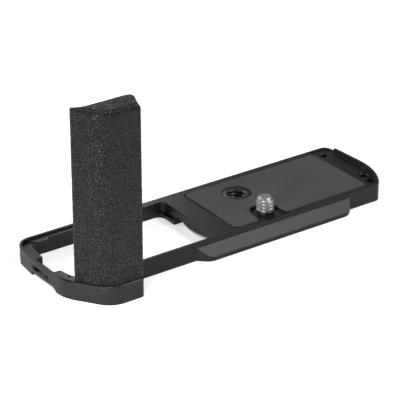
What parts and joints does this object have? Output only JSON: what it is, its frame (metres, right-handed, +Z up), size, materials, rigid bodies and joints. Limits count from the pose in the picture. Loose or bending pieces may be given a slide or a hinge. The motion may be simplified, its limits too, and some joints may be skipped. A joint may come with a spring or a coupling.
{
  "type": "l-shaped camera handle",
  "caption": "Machined base plate for a small camera with an upright leather-covered grip, a captive camera screw, a tripod insert and a dovetail underside",
  "frame": {"origin": "the middle of the outer box, on the plate's underside", "axes": "+Z up along the grip, +X along the plate away from the grip, +Y to the rear of the camera"},
  "size_m": [0.1383, 0.0482, 0.0683],
  "materials": {
    "anodised": "matte dark anodised",
    "silicone": "matte",
    "bright_steel": "bright turned",
    "black_ring": "matte black",
    "black_steel": "blackened",
    "core": "matte dark anodised",
    "leather": "grained",
    "black_screws": "blackened",
    "key_steel": "brushed",
    "magnet": "nickel plated"
  },
  "bodies": {
    "plate": {"base_plate": "anodised", "floor_pad": "silicone", "tripod_insert": "black_steel", "grip_core": "core", "grip_cover": "leather", "grip_screws": "black_screws", "key_magnets": "magnet"},
    "ring": {"screw_collar": "black_ring"},
    "screw": {"camera_screw": "bright_steel"},
    "key": {"driver_key": "key_steel"}
  },
  "joints": [
    {"name": "screw_lift", "type": "slide", "parent": "plate", "child": "ring", "axis": [0, 0, 1], "range_m": [0, 0.0008]},
    {"name": "screw_spin", "type": "hinge", "parent": "ring", "child": "screw", "pos_m": [0.01715, -0.00573, 0.0069], "axis": [0, 0, 1], "continuous": true},
    {"name": "key_out", "type": "slide", "parent": "plate", "child": "key", "axis": [0, 0, -1], "range_m": [0, 0.012]}
  ]
}
